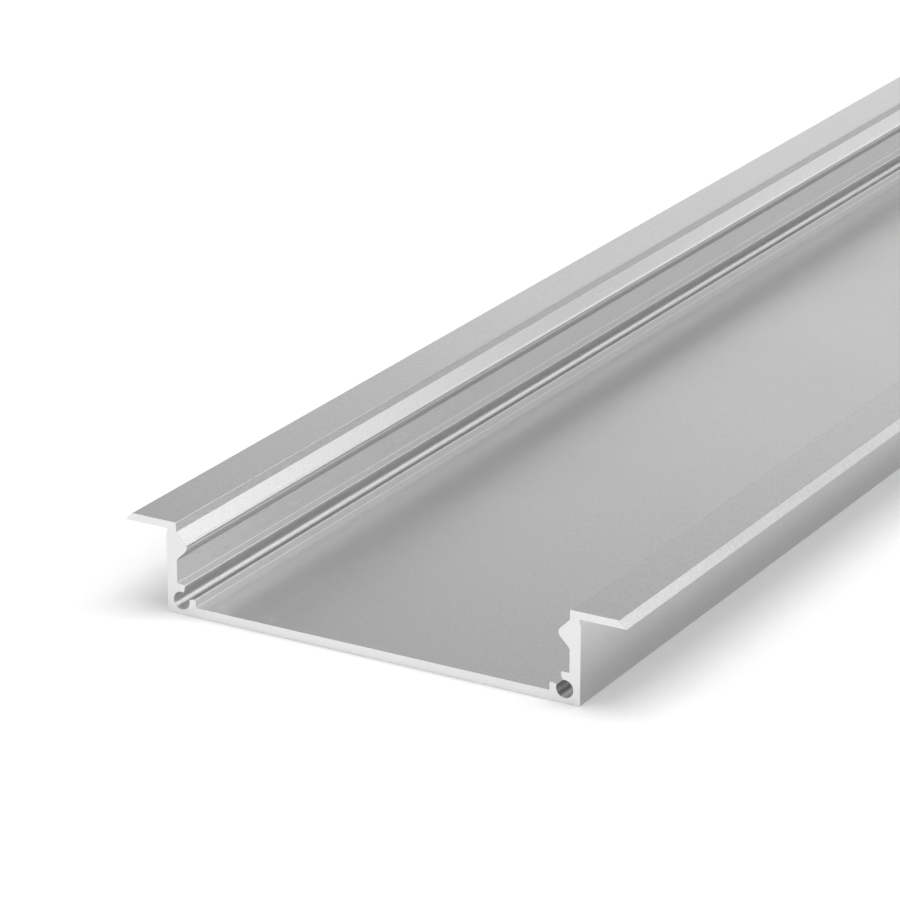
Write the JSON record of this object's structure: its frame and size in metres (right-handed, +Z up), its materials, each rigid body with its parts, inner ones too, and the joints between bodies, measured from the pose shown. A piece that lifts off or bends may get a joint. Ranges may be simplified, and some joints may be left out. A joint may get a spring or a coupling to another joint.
{
  "type": "led strip profile",
  "caption": "Recessed tray extrusion for LED strips: flat floor, two walls with snap ridges for a cover, bevelled flanges and a screw port in each bottom corner.",
  "frame": {"origin": "middle of the underside of the floor, halfway along the bar", "axes": "+Y along the bar, +Z up through the open side of the tray, +X across it"},
  "size_m": [0.058, 0.3, 0.01],
  "materials": {
    "anodised_aluminium": "silver satin anodised, with bright sawn ends"
  },
  "bodies": {
    "root": {"tray_profile": "anodised_aluminium"}
  },
  "joints": []
}
